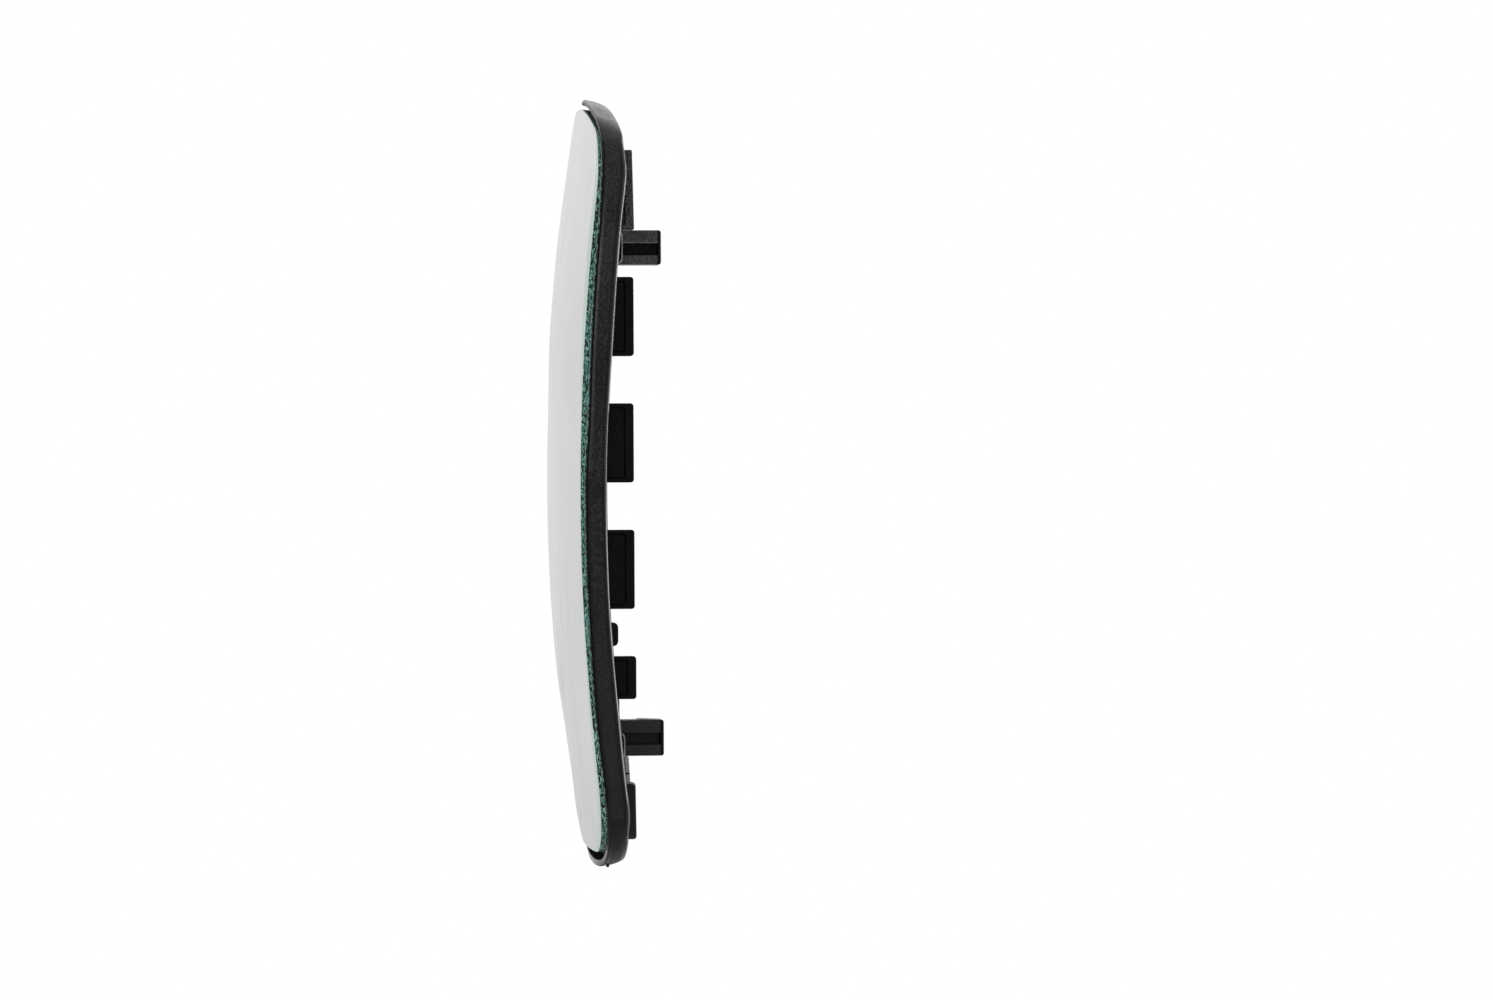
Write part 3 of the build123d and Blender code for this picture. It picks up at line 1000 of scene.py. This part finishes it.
def buildRibs(sizes):
    tubes = []
    half, start = sizes["wide"] / 2, sizes["start"]
    section = wallSection(-half, half, sizes["high"], sizes["round"], -rootDeep)
    edge = [flat - way * sizes["inset"] for flat, way in rimSpots]
    for number in range(sizes["spokes"]):
        angle = 2 * pi * number / sizes["spokes"]
        way = Vector((cos(angle), sin(angle)))
        aside = Vector((-way.y, way.x))
        reach = 0
        for n in range(len(edge)):
            a, b = edge[n - 1], edge[n]
            offA, offB = a.dot(aside), b.dot(aside)
            if offA * offB <= 0 and a.dot(way) > 0:
                reach = a.lerp(b, offA / (offA - offB)).dot(way)
        steps = max(4, int((reach - start) / sizes["step"]))
        loops = []
        for along in between(start, reach, steps):
            row = []
            for across, high in section:
                point = way * along + aside * across
                row.append(placed(point.x, plateHeight(point.x, point.y, -high), point.y))
            loops.append(row)
        tubes.append(loops)
    tubePiece("plateRibs", tubes, "rim", closed=False)


buildSocket(socketSizes)
buildRibs(ribSizes)
print("socket and ribs made")

# Small nub and the broken gate mark
nubSizes = {
    "up": -31.7, "size": 2.85, "tip": 7.2, "thick": 3.0, "inset": 3.0, "round": 0.4, "footCorner": 0.3,
    "tipCorner": 1.5, "cornerSteps": 6, "turns": (30, 60, 90),
}


def buildNub(sizes):
    outer = outlineSizes["wide"] / 2 - sizes["inset"]
    size, foot = sizes["round"], sizes["tip"] - 2 * sizes["size"]
    rounds = [sizes["footCorner"]] * 2 + [sizes["tipCorner"]] * 2
    rows = [(outer - sizes["thick"], 0), (outer - size, 0)]
    for angle in [radians(turn) for turn in sizes["turns"]]:
        rows.append((outer - size + size * sin(angle), size - size * cos(angle)))
    loops = []
    for across, shrink in rows:
        half, tip = sizes["size"] - shrink, sizes["tip"] - shrink
        corners = [(-half, foot), (half, foot), (half, tip), (-half, tip)]
        loop = roundedLoop(corners, rounds, sizes["cornerSteps"])
        loops.append([placed(across, p.y, sizes["up"] + p.x) for p in loop])
    tubePiece("sideNub", [loops], "lug")


gateSizes = {
    "across": 37.0, "depth": 2.3, "long": 1.3, "deep": 0.9, "high": 0.75, "points": 14, "wobble": 0.18,
    "wobbleScale": 1.7, "rings": ((-0.25, 1.0), (0.2, 0.92), (0.55, 0.8), (0.8, 0.5)),  # level and share
}


def buildGate(sizes):
    foot = [spot for spot in rimSpots if spot[1].y < -0.6]
    flat, way = min(foot, key=lambda spot: abs(spot[0].x - sizes["across"]))
    along = Vector((-way.y, way.x))
    loops = []
    for level, share in sizes["rings"]:
        row = []
        for n in range(sizes["points"]):
            angle = 2 * pi * n / sizes["points"]
            x, y = cos(angle), sin(angle)
            wobble = noise.noise(Vector((x, y, level * 2)) * sizes["wobbleScale"])
            reach = share * (1 + sizes["wobble"] * wobble) / 2
            depth = sizes["depth"] + y * sizes["deep"] * reach
            base = flat + along * (x * sizes["long"] * reach)
            row.append(wallPoint((base, way), -level * sizes["high"], depth, "rim"))
        loops.append(row)
    tubePiece("gateMark", [loops], "rim")


buildNub(nubSizes)
buildGate(gateSizes)
print("nub and gate mark made")

# Floor, light and camera, in metres
floorSizes = {"half": 0.68, "top": -0.2, "cloud": (14, 3.0), "dark": grey(0.80), "light": grey(0.84)}
lamps = {
    "topSoftbox": {"place": (-0.8, 0.12, 0.5), "aim": (0, 0, 0.06), "wide": 0.6, "high": 0.6, "power": 0.7},
    "backSoftbox": {"place": (-0.1, 1.0, 0.05), "aim": (0, 0, 0.02), "wide": 0.25, "high": 0.7, "power": 6},
}
worldStrength = {"light": 0.85, "seen": 1.0}


def buildFloor(sizes):
    half, top = sizes["half"], sizes["top"]
    mesh = bpy.data.meshes.new("studioFloor")
    corners = [(-half, -half, top), (half, -half, top), (half, half, top), (-half, half, top)]
    mesh.from_pydata(corners, [], [(0, 1, 2, 3)])
    floor = newObject("studioFloor", mesh)
    material = bpy.data.materials.new("paleFloor")
    material.use_nodes = True
    tree = material.node_tree
    where = addNode(tree, "ShaderNodeTexCoord").outputs["Object"]
    tone = addMix(addNoise(where, *sizes["cloud"]), sizes["dark"], sizes["light"])
    values = {"Base Color": tone, "Roughness": 0.9, "Specular IOR Level": 0.1}
    feedAll(tree.nodes["Principled BSDF"], values)
    mesh.materials.append(material)


def addLamp(name, place, aim, wide, high, power):
    data = bpy.data.lights.new(name, "AREA")
    data.shape, data.size, data.size_y, data.energy = "RECTANGLE", wide, high, power
    lamp = newObject(name, data)
    lamp.location = place
    lamp.rotation_euler = (Vector(aim) - Vector(place)).to_track_quat("-Z", "Y").to_euler()


def buildWorld(strength):
    # The camera, reflections and glass see plain white, and the light itself is a little lower
    world = bpy.data.worlds.new("studio")
    scene.world = world
    world.use_nodes = True
    tree = world.node_tree
    tree.nodes.clear()
    path = addNode(tree, "ShaderNodeLightPath").outputs
    seen = addMath("MAXIMUM", path["Is Camera Ray"], path["Is Glossy Ray"])
    seen = addMath("MAXIMUM", seen, path["Is Transmission Ray"])
    blend = addNode(tree, "ShaderNodeMixShader", {"Fac": seen})
    for number, key in ((1, "light"), (2, "seen")):
        white = addNode(tree, "ShaderNodeBackground", {"Color": grey(1), "Strength": strength[key]})
        feed(blend.inputs[number], white.outputs[0])
    addNode(tree, "ShaderNodeOutputWorld", {"Surface": blend.outputs[0]})


buildFloor(floorSizes)
for lampName, lampValues in lamps.items():
    addLamp(lampName, **lampValues)
buildWorld(worldStrength)

viewSetup = {
    "photoWide": 1493,  # pixels
    "distance": 1.200,  # from the middle of the glass front
    "turn": 6.5,  # degrees round from the pane's own plane
    "roll": 0.3,
    "pixelsPerMetre": 4040,  # at that distance
    "glassMiddleX": 553.6,  # where the middle of the glass front falls in the picture
    "glassFrontY": -0.0107,
    "sensorWide": 36,
}


def addCamera(setup):
    turn = radians(setup["turn"])
    roll = radians(setup["roll"])
    toCamera = Vector((cos(turn), -sin(turn), 0))
    right = Vector((sin(turn), cos(turn), 0))
    up = Vector((0, 0, 1))
    aside = (setup["photoWide"] / 2 - setup["glassMiddleX"]) / setup["pixelsPerMetre"]
    place = Vector((0, setup["glassFrontY"], 0)) + toCamera * setup["distance"] + right * aside
    imageRight = right * cos(roll) - up * sin(roll)
    imageUp = right * sin(roll) + up * cos(roll)
    data = bpy.data.cameras.new("photoCamera")
    data.sensor_fit = "HORIZONTAL"
    data.sensor_width = setup["sensorWide"]
    data.lens = setup["pixelsPerMetre"] * setup["distance"] * setup["sensorWide"] / setup["photoWide"]
    data.clip_start = 0.01
    camera = newObject("photoCamera", data)
    axes = Matrix((imageRight, imageUp, toCamera)).transposed()
    camera.matrix_world = Matrix.Translation(place) @ axes.to_4x4()
    scene.camera = camera


addCamera(viewSetup)
scene.view_settings.view_transform = "Standard"
print("stage, light and camera made")
